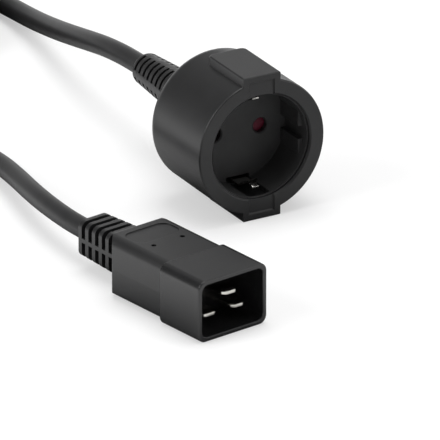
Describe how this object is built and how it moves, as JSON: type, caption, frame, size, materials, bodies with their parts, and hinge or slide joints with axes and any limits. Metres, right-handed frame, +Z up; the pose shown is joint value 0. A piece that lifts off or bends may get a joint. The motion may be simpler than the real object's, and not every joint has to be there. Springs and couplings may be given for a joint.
{
  "type": "power cord",
  "caption": "Black power cord with a round earthed coupler socket on one end and a flat-pin appliance plug on the other, its spare length coiled.",
  "frame": {"origin": "on the floor under the middle of the socket, which stands on its lower grip block", "axes": "+Y into the socket from its face towards its cord, +Z up, +X to the right of the socket's face"},
  "size_m": [0.1222, 0.3634, 0.056],
  "materials": {
    "soft_black": "moulded soft PVC, fine matt grain",
    "hard_black": "hard moulded plastic, half gloss",
    "sheath": "extruded PVC sheath, smooth satin",
    "carrier_grey": "hard moulded plastic, matt",
    "shutter_red": "hard moulded plastic, satin",
    "nickelled_brass": "nickel plated brass, satin",
    "brass": "bare brass, stamped and rolled",
    "spring_steel": "spring strip, bright",
    "core_brown": "PVC core insulation",
    "core_blue": "PVC core insulation",
    "core_green_yellow": "PVC core insulation, green with yellow stripe",
    "strap": "hook and loop strap"
  },
  "bodies": {
    "cord_set": {"socket_housing": "soft_black", "socket_insert": "hard_black", "contact_carrier": "carrier_grey", "shutter_spring": "spring_steel", "line_contact": "brass", "neutral_contact": "brass", "earth_bracket": "nickelled_brass", "socket_line_core": "core_brown", "socket_neutral_core": "core_blue", "socket_earth_core": "core_green_yellow", "cord_socket_run": "sheath", "cord_coil": "sheath", "coil_tie": "strap", "cord_plug_run": "sheath", "plug_housing": "soft_black", "plug_shroud": "hard_black", "line_blade": "nickelled_brass", "neutral_blade": "nickelled_brass", "earth_blade": "nickelled_brass", "plug_line_core": "core_brown", "plug_neutral_core": "core_blue", "plug_earth_core": "core_green_yellow"},
    "shutter_bar": {"shutter": "shutter_red"}
  },
  "joints": [
    {"name": "shutter_turn", "type": "hinge", "parent": "cord_set", "child": "shutter_bar", "pos_m": [0, -0.02095, 0.028], "axis": [0, 1, 0], "range_deg": [0, 40], "stiffness_Nm_per_rad": 0.002, "springref_deg": -17.19, "deforming": ["shutter_spring"]}
  ]
}
